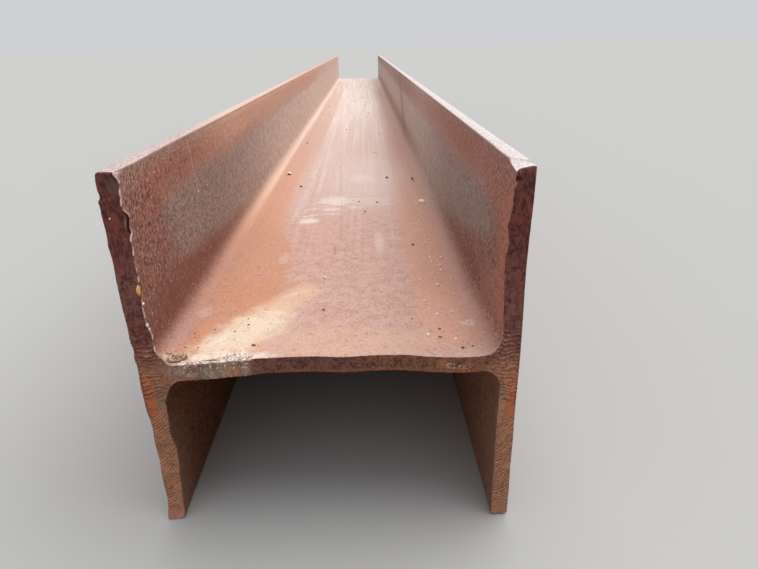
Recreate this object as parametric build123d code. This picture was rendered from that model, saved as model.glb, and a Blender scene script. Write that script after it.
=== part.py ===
from build123d import *
import os

# A hot-rolled steel beam of H section, lying on the toes of its flanges, torch-cut at both ends.
# X runs across the section from the left flange to the right one, Y runs along the beam from the
# near end to the far end, and Z is up. The origin is the bottom centre of the beam's box.

# Rolled section, in mm: the 254 by 254 bearing pile of 71 kg a metre
section_depth = 249.7
flange_width = 258.0
flange_thickness = 12.0
web_thickness = 12.0
root_radius = 12.7
toe_radius = 2.0

# Length between the furthest points of the two ends
beam_length = 3200.0

# Torch cuts by hand. Each tuple is how far an edge of the cut stands back from the furthest point
# of its end, at equal steps. A flange is cut aslant, so its outer and its inner edge differ, and
# both run from foot to head. The web is cut from the left flange to the right one, in two passes
# that miss each other by a step.
near_left_outer_edge = (7.5, 12.5, 13.0, 12.5, 11.5, 9.5, 9.0, 7.5, 6.5, 6.5, 5.5, 5.0, 7.5)
near_left_inner_edge = (9.0, 13.0, 17.0, 15.5, 14.5, 14.0, 9.5, 14.0, 9.0, 10.0, 11.5, 7.5, 8.0)
near_web_first_cut = (9.5, 2.6, 0.2, 0.0, 0.8, 2.3)
near_web_second_cut = (8.0, 8.5, 8.5, 6.5, 7.5, 7.0, 3.5, 1.5, 3.0)
near_right_inner_edge = (2.5, 3.5, 3.0, 4.5, 4.0, 3.0, 3.0, 5.5, 11.0, 13.0, 9.5, 5.0, 2.5)
near_right_outer_edge = (3.0, 2.5, 3.5, 3.0, 4.0, 3.5, 3.0, 3.5, 5.0, 6.0, 5.0, 3.0, 2.5)
far_left_outer_edge = (3.0, 2.0, 4.5, 3.0, 5.0, 6.5, 5.0, 3.0, 4.0, 2.0, 3.5, 5.0, 4.0)
far_left_inner_edge = (4.0, 3.5, 5.0, 5.5, 6.0, 6.0, 4.0, 4.5, 6.0, 3.5, 4.0, 6.5, 5.0)
far_web_first_cut = (3.5, 2.0, 0.5, 0.0, 1.0, 2.5)
far_web_second_cut = (5.5, 4.5, 6.0, 5.0, 3.5, 4.5, 3.0, 4.0, 5.5)
far_right_inner_edge = (4.5, 5.0, 6.5, 3.0, 5.5, 4.0, 5.5, 5.0, 6.0, 4.0, 4.5, 3.0, 3.5)
far_right_outer_edge = (5.0, 6.5, 5.5, 3.5, 4.5, 2.5, 5.5, 6.5, 4.5, 5.5, 3.0, 4.0, 2.0)

# Length of the web's first pass, from the root of the left flange
web_first_pass = 58.0

# Rounding that the flame left on the head and the foot of each flange's cut
melt_radius = 1.5

# Gouge that the flame blew out of the inner edge of the near left flange: how far it bites into the
# flange's thickness and along the beam, its height, and how high its middle lies
gouge_bite = 3.5
gouge_reach = 4.5
gouge_height = 12.0
gouge_level = 226.0

# Slanting burn at the inner corner of each near flange's head: how much it takes off the thickness,
# off the height, and along the beam. The right one runs out past the flange's outer face.
left_burn = (1.5, 6.0, 16.0)
right_burn = (18.0, 4.5, 26.0)

# How far the stock ran on past each cut, and past the section, before the waste fell off
overrun = 20.0

clear_width = section_depth - 2 * flange_thickness
web_level = flange_width / 2
root_share = root_radius / 2
web_pass_start = -clear_width / 2 + root_share
web_pass_end = clear_width / 2 - root_share
near, far = -1, 1
left, right = -1, 1


def rolled_section():
    """The H outline as it lies: two upright flanges and a level web, rounded at toes and roots."""
    outline = Rectangle(section_depth, flange_width, align=(Align.CENTER, Align.MIN))
    trough = Rectangle(clear_width, flange_width, align=(Align.CENTER, Align.MIN))
    trough = fillet(trough.vertices().group_by(Axis.Y)[0], root_radius)
    upper = Pos(0, web_level + web_thickness / 2) * trough
    lower = mirror(upper, Plane((0, web_level, 0), z_dir=(0, 1, 0)))
    section = outline - upper - lower
    toes = section.vertices().group_by(Axis.Y)
    return fillet(toes[0] + toes[-1], toe_radius)


def pass_points(setbacks, start, finish, end):
    """Points of one torch pass, as (Y of the cut, place along the pass)."""
    step = (finish - start) / (len(setbacks) - 1)
    return [(end * (beam_length / 2 - back), start + i * step) for i, back in enumerate(setbacks)]


def flange_cut(setbacks, side, inward, end):
    """The face of the waste at one place in a flange's thickness, inward from its outer face."""
    points = pass_points(setbacks, melt_radius, flange_width - melt_radius, end)
    cut = Spline(*points, tangents=((0, 1), (0, 1)))
    head = JernArc(cut @ 1, (0, 1), melt_radius, 90 * end)
    foot = JernArc(cut @ 0, (0, -1), melt_radius, -90 * end)
    beyond = end * (beam_length / 2 + 2 * overrun)
    rim = Polyline(
        head @ 1,
        ((head @ 1).X, flange_width + overrun),
        (beyond, flange_width + overrun),
        (beyond, -overrun),
        ((foot @ 1).X, -overrun),
        foot @ 1,
    )
    place = Plane.YZ.offset(side * (section_depth / 2 - inward))
    return place * make_face(Curve() + [cut, head, foot, rim])


def flange_waste(outer_edge, inner_edge, side, end):
    """What one pass parts from a flange and from the outer half of its root, cut straight across."""
    faces = []
    for inward in (-overrun, flange_thickness + root_share):
        share = inward / flange_thickness
        setbacks = [outer + share * (inner - outer) for outer, inner in zip(outer_edge, inner_edge)]
        faces.append(flange_cut(setbacks, side, inward, end))
    return loft(faces if side == left else faces[::-1], ruled=True)


def web_waste(first, second, end):
    """What the two passes part from the web and the inner halves of the roots."""
    meeting = web_pass_start + web_first_pass
    first_cut = Spline(*[(x, y) for y, x in pass_points(first, web_pass_start, meeting, end)])
    second_cut = Spline(*[(x, y) for y, x in pass_points(second, meeting, web_pass_end, end)])
    beyond = end * (beam_length / 2 + 2 * overrun)
    rim = Polyline(second_cut @ 1, (web_pass_end, beyond), (web_pass_start, beyond), first_cut @ 0)
    step = Line(first_cut @ 1, second_cut @ 0)
    return extrude(make_face(Curve() + [first_cut, step, second_cut, rim]), amount=flange_width)


def gouge():
    """The blown-out hollow: a spheroid standing on the inner edge of the near left flange."""
    half = gouge_height / 2
    arc = EllipticalCenterArc((0, 0), gouge_reach, half, start_angle=-90, arc_size=180)
    hollow = revolve(Plane.XZ * make_face(Curve() + [arc, Line(arc @ 1, arc @ 0)]), Axis.Z)
    inner_face = -clear_width / 2
    cut_face = -beam_length / 2 + near_left_inner_edge[-3]
    return Pos(inner_face + gouge_reach - gouge_bite, cut_face, gouge_level) * hollow


def burnt_corner(burn, side):
    """The wedge that the flame took off the inner corner of a near flange's head."""
    off_thickness, off_height, off_length = burn
    setback = (near_left_inner_edge if side == left else near_right_inner_edge)[-1]
    corner = Vector(side * clear_width / 2, setback - beam_length / 2, flange_width)
    across = corner + Vector(side * off_thickness, 0, 0)
    down = corner - Vector(0, 0, off_height)
    along = corner + Vector(0, off_length, 0)
    slant = (down - across).cross(along - across).normalized()
    if slant.X * side > 0:
        slant = -slant
    size = 3 * off_length
    burnt = Plane((across + down + along) / 3, x_dir=down - across, z_dir=slant)
    return burnt * Box(size, size, size, align=(Align.CENTER, Align.CENTER, Align.MIN))


def steel_beam():
    """The beam: rolled as one piece, parted at both ends, burnt and gouged at the near one."""
    beam = extrude(Plane.XZ * rolled_section(), amount=beam_length / 2 + overrun, both=True)
    beam -= flange_waste(near_left_outer_edge, near_left_inner_edge, left, near)
    beam -= flange_waste(near_right_outer_edge, near_right_inner_edge, right, near)
    beam -= web_waste(near_web_first_cut, near_web_second_cut, near)
    beam -= flange_waste(far_left_outer_edge, far_left_inner_edge, left, far)
    beam -= flange_waste(far_right_outer_edge, far_right_inner_edge, right, far)
    beam -= web_waste(far_web_first_cut, far_web_second_cut, far)
    beam -= burnt_corner(left_burn, left)
    beam -= burnt_corner(right_burn, right)
    beam -= gouge()
    return Pos(0, -beam.bounding_box().center().Y, 0) * beam


os.makedirs("parts", exist_ok=True)
export_step(steel_beam(), "parts/steel_beam.step")
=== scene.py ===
from math import cos, pi, radians, sin

import bmesh
import bpy
import numpy as np
from mathutils import Matrix, Vector, noise
from mathutils.geometry import delaunay_2d_cdt


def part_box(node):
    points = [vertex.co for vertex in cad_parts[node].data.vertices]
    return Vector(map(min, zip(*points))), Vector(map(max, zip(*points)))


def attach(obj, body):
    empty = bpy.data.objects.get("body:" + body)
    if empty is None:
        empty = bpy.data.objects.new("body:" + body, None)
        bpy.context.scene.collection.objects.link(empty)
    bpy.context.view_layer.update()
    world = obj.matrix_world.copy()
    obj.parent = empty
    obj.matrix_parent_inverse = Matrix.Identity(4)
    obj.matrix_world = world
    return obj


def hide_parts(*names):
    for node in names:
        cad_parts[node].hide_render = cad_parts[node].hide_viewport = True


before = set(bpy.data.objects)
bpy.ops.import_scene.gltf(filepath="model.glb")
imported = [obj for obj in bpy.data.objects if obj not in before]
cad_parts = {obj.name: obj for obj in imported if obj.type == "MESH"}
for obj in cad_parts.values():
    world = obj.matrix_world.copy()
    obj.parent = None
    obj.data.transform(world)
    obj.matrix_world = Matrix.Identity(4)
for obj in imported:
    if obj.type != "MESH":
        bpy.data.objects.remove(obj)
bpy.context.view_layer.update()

# The rolled bar. Two upright flanges and a level web are one piece of steel, with rounded roots where
# they meet and rounded toes. The rolls leave one outline all along, walked here once round from the
# middle of the web, in steps that can be halved three times.
mm = 0.001
low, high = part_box("steel_beam")
depth, length, height = high - low
half_depth = depth / 2
web_level = height / 2
flange_thickness = 12.0 * mm
web_thickness = 12.0 * mm
root_radius = 12.7 * mm
toe_radius = 2.0 * mm
inner_face = half_depth - flange_thickness
web_top = web_level + web_thickness / 2
root_start = inner_face - root_radius
root_height = web_top + root_radius
web_steps, root_steps, flange_steps, toe_steps, outer_steps = 120, 24, 128, 8, 152


def run(start, finish, steps):
    """Points of a straight side of the section, without its last."""
    share = np.arange(steps)[:, None] / steps
    return np.array(start) * (1 - share) + np.array(finish) * share


def bend(centre, radius, start, finish, steps):
    """Points of a rounded root or toe, without its last."""
    turn = np.radians(start + (finish - start) * np.arange(steps) / steps)
    return np.array(centre) + radius * np.stack([np.cos(turn), np.sin(turn)], axis=1)


toe_level = height - toe_radius
quarter = np.concatenate([
    run((0, web_top), (root_start, web_top), web_steps),
    bend((root_start, root_height), root_radius, -90, 0, root_steps),
    run((inner_face, root_height), (inner_face, toe_level), flange_steps),
    bend((inner_face + toe_radius, toe_level), toe_radius, 180, 90, toe_steps),
    run((inner_face + toe_radius, height), (half_depth - toe_radius, height), toe_steps),
    bend((half_depth - toe_radius, toe_level), toe_radius, 90, 0, toe_steps),
    run((half_depth, toe_level), (half_depth, web_level), outer_steps),
    [(half_depth, web_level)],
])
to_left = np.array([-1, 1])
upside_down = quarter * (1, -1) + (0, height)
outline = np.concatenate([
    quarter[:-1],
    upside_down[:0:-1],
    (upside_down * to_left)[:-1],
    (quarter * to_left)[:0:-1],
])
along_outline = np.roll(outline, -1, axis=0) - np.roll(outline, 1, axis=0)
outward = np.stack([-along_outline[:, 1], along_outline[:, 0]], axis=1)
outward /= np.linalg.norm(outward, axis=1)[:, None]

# The torch cuts. Each end was parted by hand, down each flange and in two goes across the web, and the
# flame wandered. Setbacks are in mm from the furthest point of the end. A flange's run up its outer
# and its inner face, at equal steps or, where the edge is ragged, at the heights that go with them;
# the web's go across it.
melt_radius = 1.5 * mm
web_first_pass = 58.0 * mm
web_end = inner_face - root_radius / 2
meeting = web_first_pass - web_end
near_cut = {
    "left outer": (
        (0, 7.7), (7, 10.7), (12, 12.6), (29, 12.4), (39, 12.1), (48, 13.4), (59, 12.7), (68, 12.1),
        (77, 12.9), (86, 12.0), (96, 9.7), (107, 9.2), (113, 8.7), (131, 9.5), (137, 8.2), (142, 9.4),
        (149, 7.5), (161, 7.5), (173, 6.5), (185, 6.1), (195, 6.2), (200, 6.8), (205, 6.7), (215, 5.4),
        (220.6, 6.3), (233, 5.3), (240, 5.1), (241.5, 4.4), (242.6, 7.0), (244, 7.8), (247, 6.7),
        (250.5, 6.5), (254, 6.9), (258, 8.1),
    ),
    "left inner": (
        (0, 8.6), (5.5, 11.4), (12, 11.7), (20, 13.0), (29, 14.4), (36, 15.1), (42, 17.2), (50, 17.5),
        (59, 18.0), (66, 15.0), (74, 12.8), (88, 14.5), (97, 14.8), (108, 14.0), (118, 11.5), (129, 9.5),
        (140, 9.3), (148, 14.5), (157, 11.5), (165, 9.0), (172, 8.6), (178, 9.4), (183, 8.4), (193, 10.8),
        (203, 9.8), (210, 10.8), (216, 10.6), (224, 9.5), (232, 8.2), (237, 7.0), (243, 8.4), (246, 8.4),
        (249, 10.4), (252, 10.4), (255, 8.6), (258, 6.4),
    ),
    "web first": (
        (-106.5, 8.0), (-103, 4.0), (-98.7, 1.9), (-95, 2.0), (-85.7, 2.7), (-73.6, 3.8), (-60, 5.4),
        (-48.5, 6.0),
    ),
    "web second": (8.0, 8.5, 8.5, 6.5, 7.5, 7.0, 3.5, 1.5, 3.0),
    "right inner": (
        (0, 2.5), (32, 3.5), (44, 3.0), (65, 4.5), (86, 4.0), (107, 3.0), (129, 3.0), (150, 5.5),
        (161, 8.0), (172, 10.5), (183, 12.0), (193, 13.4), (199, 12.5), (204, 9.5), (207, 8.0), (212, 7.9),
        (215, 10.0), (218, 13.3), (221, 11.0), (227, 7.1), (232, 4.5), (237, 4.8), (242, 3.3), (244, 2.7),
        (247, 0.6), (249, 3.9), (252, 1.2), (255, 2.0), (258, 2.4),
    ),
    "right outer": (3.0, 2.5, 3.5, 3.0, 4.0, 3.5, 3.0, 3.5, 5.0, 6.0, 5.0, 3.0, 2.5),
}
far_cut = {
    "left outer": (3.0, 2.0, 4.5, 3.0, 5.0, 6.5, 5.0, 3.0, 4.0, 2.0, 3.5, 5.0, 4.0),
    "left inner": (4.0, 3.5, 5.0, 5.5, 6.0, 6.0, 4.0, 4.5, 6.0, 3.5, 4.0, 6.5, 5.0),
    "web first": (3.5, 2.0, 0.5, 0.0, 1.0, 2.5),
    "web second": (5.5, 4.5, 6.0, 5.0, 3.5, 4.5, 3.0, 4.0, 5.5),
    "right inner": (4.5, 5.0, 6.5, 3.0, 5.5, 4.0, 5.5, 5.0, 6.0, 4.0, 4.5, 3.0, 3.5),
    "right outer": (5.0, 6.5, 5.5, 3.5, 4.5, 2.5, 5.5, 6.5, 4.5, 5.5, 3.0, 4.0, 2.0),
}


def soft_step(start, finish, value):
    """0 before start, 1 after finish, and a smooth rise between them."""
    share = np.clip((value - start) / (finish - start), 0, 1)
    return share * share * (3 - 2 * share)


def torch_pass(setbacks, start, finish, place):
    """A smooth line through the setbacks, in metres, read at each place along the pass."""
    if isinstance(setbacks[0], tuple):
        knots, depths = np.array(setbacks).T * mm
    else:
        knots, depths = np.linspace(start, finish, len(setbacks)), np.array(setbacks) * mm
    travel = np.clip(place, knots[0], knots[-1])
    step = np.clip(np.searchsorted(knots, travel, side="right") - 1, 0, len(knots) - 2)
    width = knots[step + 1] - knots[step]
    part = (travel - knots[step]) / width
    slopes = np.gradient(depths, knots)
    here, there = depths[step], depths[step + 1]
    lean = (slopes[step] * (1 - part) - slopes[step + 1] * part) * width
    return here + (there - here) * part * part * (3 - 2 * part) + part * (1 - part) * lean


gouge_levels = (217, 220.5, 224, 228, 230.5, 232.5, 237)
gouge_depths = (0.0, 4.6, 3.2, 5.6, 6.8, 4.6, 0.0)


def gouge(x, z):
    """The hollow that the flame blew in the near left flange's inner edge, below its head."""
    depth = np.interp(z / mm, gouge_levels, gouge_depths) * mm
    return (x < 0) * depth * soft_step(-half_depth + 8.2 * mm, -half_depth + 9.6 * mm, x)


def setback(cut, x, z):
    """How far the cut face stands back from the end's furthest point, at a place of the section."""
    first = torch_pass(cut["web first"], -web_end, meeting, x)
    second = torch_pass(cut["web second"], meeting, web_end, x)
    slope = 0.4 * mm + 0.7 * np.clip(web_top - z, 0, web_thickness)
    step = soft_step(meeting - slope, meeting + slope, x)
    web = first * (1 - step) + second * step
    inward = (half_depth - np.abs(x)) / flange_thickness
    flange = 0
    for side, here in (("left", x < 0), ("right", x >= 0)):
        outer = torch_pass(cut[side + " outer"], melt_radius, height - melt_radius, z)
        inner = torch_pass(cut[side + " inner"], melt_radius, height - melt_radius, z)
        flange = flange + here * (outer + np.minimum(inward, 1.2) * (inner - outer))
    past = np.maximum(np.maximum(melt_radius - z, z - height + melt_radius), 0)
    flange = flange + melt_radius - np.sqrt(np.maximum(melt_radius**2 - past**2, 0))
    on_web = soft_step(-inner_face, -web_end, -np.abs(x))
    hollow = gouge(x, z) if cut is near_cut else 0
    return flange * (1 - on_web) + web * on_web + hollow


def grain(x, z, size, seed):
    """Smooth noise from -1 to 1 over the section, with lumps of about the size."""
    places = zip((x / size).tolist(), (z / size).tolist())
    return np.array([noise.noise((u, v, seed)) for u, v in places])


def relief(x, z):
    """What stands proud of the smooth cut: drag lines of the flame, and scale and slag on them."""
    over_web = np.abs(z - web_level)
    flange = soft_step(root_start, inner_face, np.abs(x))
    by_root = flange * (1 - soft_step(20 * mm, 45 * mm, over_web))
    foot = flange * soft_step(35 * mm, 60 * mm, web_level - z)
    warp = 1.1 * grain(x, z, 8 * mm, 1.5) + 0.3 * grain(x, z, 3 * mm, 2.5)
    level_lines = np.cos(2 * np.pi * (z / (2.9 * mm) + warp))
    up_slope = (z * cos(radians(36)) - x * sin(radians(36))) / (2.5 * mm)
    slanting_lines = np.cos(2 * np.pi * (up_slope + warp))
    upright_lines = np.cos(2 * np.pi * (x / (2.6 * mm) + warp))
    lines = 1.3 * by_root * level_lines + 0.8 * foot * slanting_lines + 0.25 * (1 - flange) * upright_lines
    rough = 0.5 * grain(x, z, 2.2 * mm, 3.5) + 0.35 * grain(x, z, 5.5 * mm, 4.5)
    slag = soft_step(-100 * mm, -90 * mm, x) * (1 - soft_step(meeting - 4 * mm, meeting, x))
    crumbs = slag * np.abs(grain(x, z, 1.6 * mm, 5.5)) * 1.3
    return (0.28 * lines + 0.45 * rough + crumbs) * mm


cut_pitch = 0.8 * mm


def cut_points(spacing):
    """Places all over the section, in staggered rows, clear of its outline."""
    margin = spacing * 0.6
    across = np.arange(-half_depth, half_depth, spacing)
    up = np.arange(0, height, spacing * 0.87)
    x, z = np.meshgrid(across, up)
    x[1::2] += spacing / 2
    x, z = x.ravel(), z.ravel()
    side, over_web = np.abs(x), np.abs(z - web_level)
    in_from_face = flange_thickness / 2 - np.abs(side - half_depth + flange_thickness / 2)
    in_from_toe = web_level - over_web
    corner = np.hypot(np.maximum(toe_radius - in_from_face, 0), np.maximum(toe_radius - in_from_toe, 0))
    in_flange = (in_from_face > margin) & (in_from_toe > margin) & (corner < toe_radius - margin)
    in_web = (side < inner_face + margin) & (over_web < web_thickness / 2 - margin)
    from_root = np.hypot(side - root_start, over_web - root_height + web_level)
    by_root = (side > root_start) & (side < inner_face + margin) & (over_web < root_height - web_level)
    inside = in_flange | in_web | (by_root & (from_root > root_radius + margin))
    return x[inside], z[inside]


fine_rows = (0, 0.4, 0.9, 1.5, 2.2, 3.0, 4.0, 5.2, 6.6, 8.2, 10.0, 12.0)
half_rows = (14.5, 17.5, 21.0, 25.0, 29.5)
quarter_rows = (36.0, 44.0, 54.0)
coarse_step = 30.0 * mm
wander_reach = 60.0 * mm
positions, faces = [], []
marks = {"drag_lines": [], "slag": []}


def burr(x, z, offset):
    """The thin lip that the flame curled out of the near left flange's inner edge, from 0 to 1."""
    edge = soft_step(-inner_face - 1.0 * mm, -inner_face, x) * (x < 0) * soft_step(138 * mm, 142 * mm, z)
    ragged = np.clip(0.66 + 1.1 * grain(x, z, 3.2 * mm, 7.5), 0, 1)
    reach = (0.35 + 0.6 * grain(x, z, 5 * mm, 12.5)) * mm
    return edge * ragged * (1 - soft_step(reach, reach + 0.8 * mm, offset))


def crust(x, z, offset):
    """The crumbling slag along the web's upper edge, left of the step, from 0 to 1."""
    wider = soft_step(-84 * mm, -70 * mm, x)
    reach = (1.2 + 3.6 * wider + (1.5 + 2.0 * wider) * grain(x, z, 6 * mm, 8.5)) * mm
    along = soft_step(-102 * mm, -90 * mm, x) * (1 - soft_step(meeting - 2 * mm, meeting + 1 * mm, x))
    return along * (z > web_level) * (1 - soft_step(reach, reach + 2.5 * mm, offset))


def dross(x, z, offset):
    """How far the slag that ran down the cut stands off the root under the web, on the left."""
    from_root = np.degrees(np.arctan2(z - height + root_height, -x - root_start))
    bead = soft_step(-55, 25, from_root) * (1 - soft_step(50, 112, from_root))
    beside = (x < -root_start + 6 * mm) & (x > -inner_face - 1 * mm) & (z < web_level) & (z > 100 * mm)
    lumps = 6.8 + 1.0 * grain(x + offset, z, 4 * mm, 10.5)
    return bead * beside * lumps * mm * (1 - soft_step(4 * mm, 19 * mm, offset))


def add_ring(level, offset, end):
    """One ring of points round the bar, offset from the cut; the cut's wander dies out along the bar."""
    x, z = outline[:: 2**level].T
    out_x, out_z = outward[:: 2**level].T
    start = sum(len(p) for p in positions)
    wander = 1 - soft_step(0, wander_reach, offset)
    lines = relief(x, z)
    rough = (1 - soft_step(0, 7 * mm, offset)) * lines
    if end == "near":
        y = low.y + offset + setback(near_cut, x, z) * wander - rough
    else:
        y = high.y - offset - setback(far_cut, x, z) * wander + rough
    worn = (0.3 + 0.5 * np.maximum(grain(x, z, 3 * mm, 6.5), 0)) * mm * (offset == 0)
    proud = -worn
    slag = np.zeros(len(x))
    if end == "near":
        proud = proud + dross(x, z, offset)
        lip = burr(x, z, offset)
        lumps = crust(x, z, offset) * (0.5 + 1.3 * np.abs(grain(x + offset, z + offset, 1.9 * mm, 9.5)))
        slag = np.maximum(lip, crust(x, z, offset))
        proud = proud + (0.45 * lip + lumps) * mm
        y = y - (0.7 * lip + 1.1 * lumps) * mm * (offset < 1 * mm)
    positions.append(np.stack([x + out_x * proud, y, z + out_z * proud], axis=1))
    marks["drag_lines"].append(lines / mm)
    marks["slag"].append(slag)
    return start, len(x)


def join_rings(near_ring, far_ring):
    """Faces between two rings; where one has twice the points, each of its pairs meets one."""
    a, n = near_ring
    b, m = far_ring
    fewer = min(n, m)
    for i in range(fewer):
        j = (i + 1) % fewer
        if n == m:
            faces.append((a + i, a + j, b + j, b + i))
        elif n > m:
            here, mid, there = a + 2 * i, a + 2 * i + 1, a + 2 * j
            faces.extend([(here, mid, b + i), (mid, b + j, b + i), (mid, there, b + j)])
        else:
            here, mid, there = b + 2 * i, b + 2 * i + 1, b + 2 * j
            faces.extend([(a + i, a + j, mid), (a + i, mid, here), (a + j, there, mid)])


near_side = ((0, fine_rows), (1, half_rows), (2, quarter_rows))
rings = [(level, offset * mm, "near") for level, rows in near_side for offset in rows]
plain_start = (quarter_rows[-1] + 15) * mm
coarse_rows = round((length - 2 * plain_start) / coarse_step)
plain_rows = np.linspace(plain_start, length - plain_start, coarse_rows + 1).tolist()
rings += [(3, offset, "near") for offset in plain_rows]
far_side = ((2, quarter_rows[::-1]), (1, half_rows[::-1] + fine_rows[::-1]))
rings += [(level, offset * mm, "far") for level, rows in far_side for offset in rows]
made = [add_ring(*ring) for ring in rings]
for ahead, behind in zip(made, made[1:]):
    join_rings(ahead, behind)
cut_faces_start = len(faces)


def close_end(ring, level, end):
    """The cut face: the ring's points and the staggered points inside it, joined by triangles."""
    first, count = ring
    border_points = np.concatenate(positions)[first:first + count]
    x, z = cut_points(cut_pitch * 2**level)
    flat = np.concatenate([border_points[:, [0, 2]], np.stack([x, z], axis=1)]) / mm
    border = [(i, (i + 1) % count) for i in range(count)]
    corners = [Vector(p) for p in flat.tolist()]
    _, _, triangles, origins, _, _ = delaunay_2d_cdt(corners, border, [], 1, 1e-5)
    start = sum(len(p) for p in positions)
    lines = relief(x, z)
    if end == "near":
        y = low.y + setback(near_cut, x, z) - lines
    else:
        y = high.y - setback(far_cut, x, z) + lines
    positions.append(np.stack([x, y, z], axis=1))
    marks["drag_lines"].append(lines / mm)
    marks["slag"].append(np.zeros(len(x)))
    for triangle in triangles:
        sources = [origins[i][0] for i in triangle]
        a, b, c = (first + i if i < count else start + i - count for i in sources)
        faces.append((a, b, c) if end == "near" else (a, c, b))


close_end(made[0], 0, "near")
close_end(made[-1], 1, "far")
points = np.concatenate(positions)

# The burnt corners. The flame took the inner corner of each near flange's head off aslant, and on the
# right the whole head. What stood in it is moved on to the slanting surface.
burnt_depth = np.zeros(len(points))
for side, corner_setback, burn in ((-1, 8.0, (1.5, 6.0, 16.0)), (1, 2.5, (18.0, 4.0, 24.0))):
    corner = np.array([side * inner_face, low.y + corner_setback * mm, height])
    off_thickness, off_height, off_length = np.array(burn) * mm
    across = corner + np.array([side * off_thickness, 0, 0])
    down = corner - np.array([0, 0, off_height])
    along = corner + np.array([0, off_length, 0])
    slant = np.cross(down - across, along - across)
    slant /= np.linalg.norm(slant) * -np.sign(slant[0] * side)
    past = (points - across) @ slant
    near_corner = (np.abs(points[:, 0] - corner[0]) < 13 * mm) & (points[:, 1] < along[1] + 12 * mm)
    past = (past + np.sqrt(past**2 + (1.0 * mm) ** 2)) / 2
    past = np.where(near_corner & (points[:, 2] > height / 2), past, 0)
    points = points - past[:, None] * slant
    burnt_depth += past
marks["burnt"] = [soft_step(0.5 * mm, 1.0 * mm, burnt_depth)]


def set_down(name, contents):
    """A new object in the scene, with this mesh, lamp or camera as its contents."""
    thing = bpy.data.objects.new(name, contents)
    bpy.context.scene.collection.objects.link(thing)
    return thing


mesh = bpy.data.meshes.new("steel_beam_dressed")
mesh.from_pydata(points.tolist(), [], faces)
mesh.validate()
for name, values in marks.items():
    mark = mesh.attributes.new(name, "FLOAT", "POINT")
    mark.data.foreach_set("value", np.concatenate(values).astype(np.float32))
mesh.polygons.foreach_set("use_smooth", np.ones(len(faces), dtype=bool))
mesh.polygons.foreach_set("material_index", (np.arange(len(faces)) >= cut_faces_start).astype(np.int32))
mesh.set_sharp_from_angle(angle=radians(50))
beam = set_down("beam", mesh)
beam.modifiers.new("even shading", "WEIGHTED_NORMAL").keep_sharp = True
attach(beam, "root")
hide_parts("steel_beam")

# The finish of the rolled faces. The steel came off the rolls with a grey-brown scale, and weather has
# turned it to red and brown rust with a fine grain. Pale dust lies on what faces up; a painted sheen
# makes the toes' tops and the far part of the bar paler still.


class Value:
    """What a socket of a material gives. Arithmetic on it adds Math nodes."""

    def __init__(self, tree, socket=None):
        self.tree, self.socket = tree, socket

    def node(self, kind, settings={}, given={}, output=0):
        """Another node of the tree: first its settings, then the values or links of its sockets."""
        added = self.tree.nodes.new("ShaderNode" + kind)
        for name, setting in settings.items():
            setattr(added, name, setting)
        for name, value in given.items():
            if isinstance(value, Value):
                self.tree.links.new(value.socket, added.inputs[name])
            else:
                added.inputs[name].default_value = value
        return Value(self.tree, added.outputs[output])

    def math(self, operation, first, second=0.0):
        return self.node("Math", {"operation": operation}, {0: first, 1: second})

    def __add__(self, other):
        return self.math("ADD", self, other)

    def __sub__(self, other):
        return self.math("SUBTRACT", self, other)

    def __rsub__(self, other):
        return self.math("SUBTRACT", other, self)

    def __mul__(self, other):
        return self.math("MULTIPLY", self, other)

    def __truediv__(self, other):
        return self.math("DIVIDE", self, other)

    def __pow__(self, other):
        return self.math("POWER", self, other)

    def __abs__(self):
        return self.math("ABSOLUTE", self)

    __radd__ = __add__
    __rmul__ = __mul__


def rise(value, start, finish):
    """0 at the start, 1 at the finish, and a smooth rise between them; start may be the higher."""
    return value.node("MapRange", {"interpolation_type": "SMOOTHSTEP"}, {0: value, 1: start, 2: finish})


def between(value, low_edge, high_edge, soft):
    """1 from one edge to the other, and soft beyond them."""
    return rise(value, low_edge - soft, low_edge) * rise(value, high_edge + soft, high_edge)


def mottle(place, size, seed, detail=2.0, roughness=0.5):
    """Clouds from 0 to 1, about as large as the size in mm along X, Y and Z."""
    stretch = tuple(1 / s for s in size) if isinstance(size, tuple) else (1 / size,) * 3
    shift = (seed * 3.7, seed * 1.3, seed * 2.9)
    where = place.node("VectorMath", {"operation": "MULTIPLY_ADD"}, {0: place, 1: stretch, 2: shift})
    return place.node("TexNoise", {}, {
        "Vector": where, "Scale": 1.0, "Detail": detail, "Roughness": roughness,
    })


def paint(share, below, above):
    """The colour below where the share is 0, the one above where it is 1."""
    below, above = (c if isinstance(c, Value) else (*c, 1) for c in (below, above))
    return share.node("Mix", {"data_type": "RGBA"}, {0: share, 6: below, 7: above}, output=2)


def layers(colour, coats):
    """The colour under several coats, each a share and the colour that it paints on."""
    for share, above in coats:
        colour = paint(share, colour, above)
    return colour


def shade(colour, strength):
    """The colour, made lighter or darker by a strength around 1."""
    return colour.node("VectorMath", {"operation": "SCALE"}, {0: colour, "Scale": strength})


def patch(u, v, centre, half_size, ragged):
    """An oval patch round a centre, 1 inside and 0 outside, with its rim worn by the ragged value."""
    off_u, off_v = (u - centre[0]) / half_size[0], (v - centre[1]) / half_size[1]
    return rise((off_u * off_u + off_v * off_v) ** 0.5 + ragged, 1.35, 0.45)


def scratch(u, v, start, finish, half_width):
    """A straight scratch between two points, 1 along its middle."""
    run_u, run_v = finish[0] - start[0], finish[1] - start[1]
    off_u, off_v = u - start[0], v - start[1]
    along = (off_u * run_u + off_v * run_v) / (run_u**2 + run_v**2)
    along = along.node("Clamp", {}, {0: along, 1: 0.0, 2: 1.0})
    off_u, off_v = off_u - along * run_u, off_v - along * run_v
    return rise((off_u * off_u + off_v * off_v) ** 0.5, half_width, half_width * 0.3)


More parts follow.
